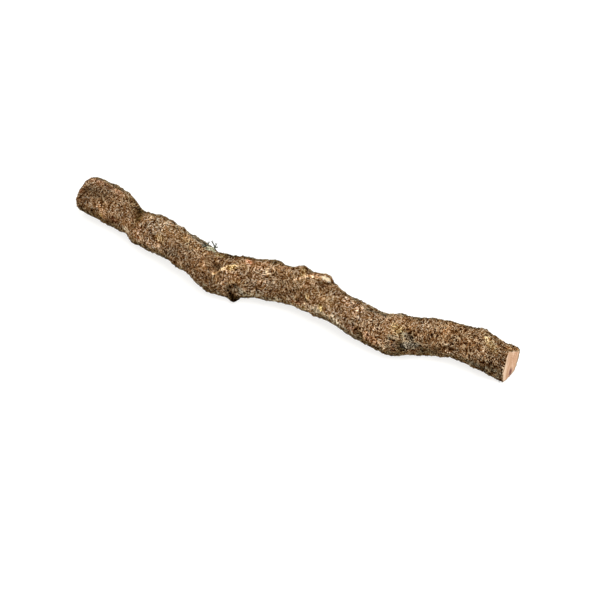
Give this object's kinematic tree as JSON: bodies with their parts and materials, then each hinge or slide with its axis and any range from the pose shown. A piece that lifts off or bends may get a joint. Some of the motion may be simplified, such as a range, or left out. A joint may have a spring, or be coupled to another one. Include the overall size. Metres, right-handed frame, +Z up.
{
  "type": "cork branch",
  "caption": "Crooked branch with rough corky bark, sawn flat at both ends, with a dead stub, knots and a tuft of lichen, that lies on a surface as decor or a perch.",
  "frame": {"origin": "on the surface that the branch rests on, under the middle of its box", "axes": "+X along the branch from its butt to its tip, +Z up from the surface, -Y towards the side with the dead stub"},
  "size_m": [0.5346, 0.0836, 0.0454],
  "materials": {
    "bark": "rough corky bark in tans and browns, with pale sawn wood on the cut ends",
    "lichen": "dry matt grey-green lichen"
  },
  "bodies": {
    "root": {"branch": "bark", "lichen_tuft": "lichen"}
  },
  "joints": []
}
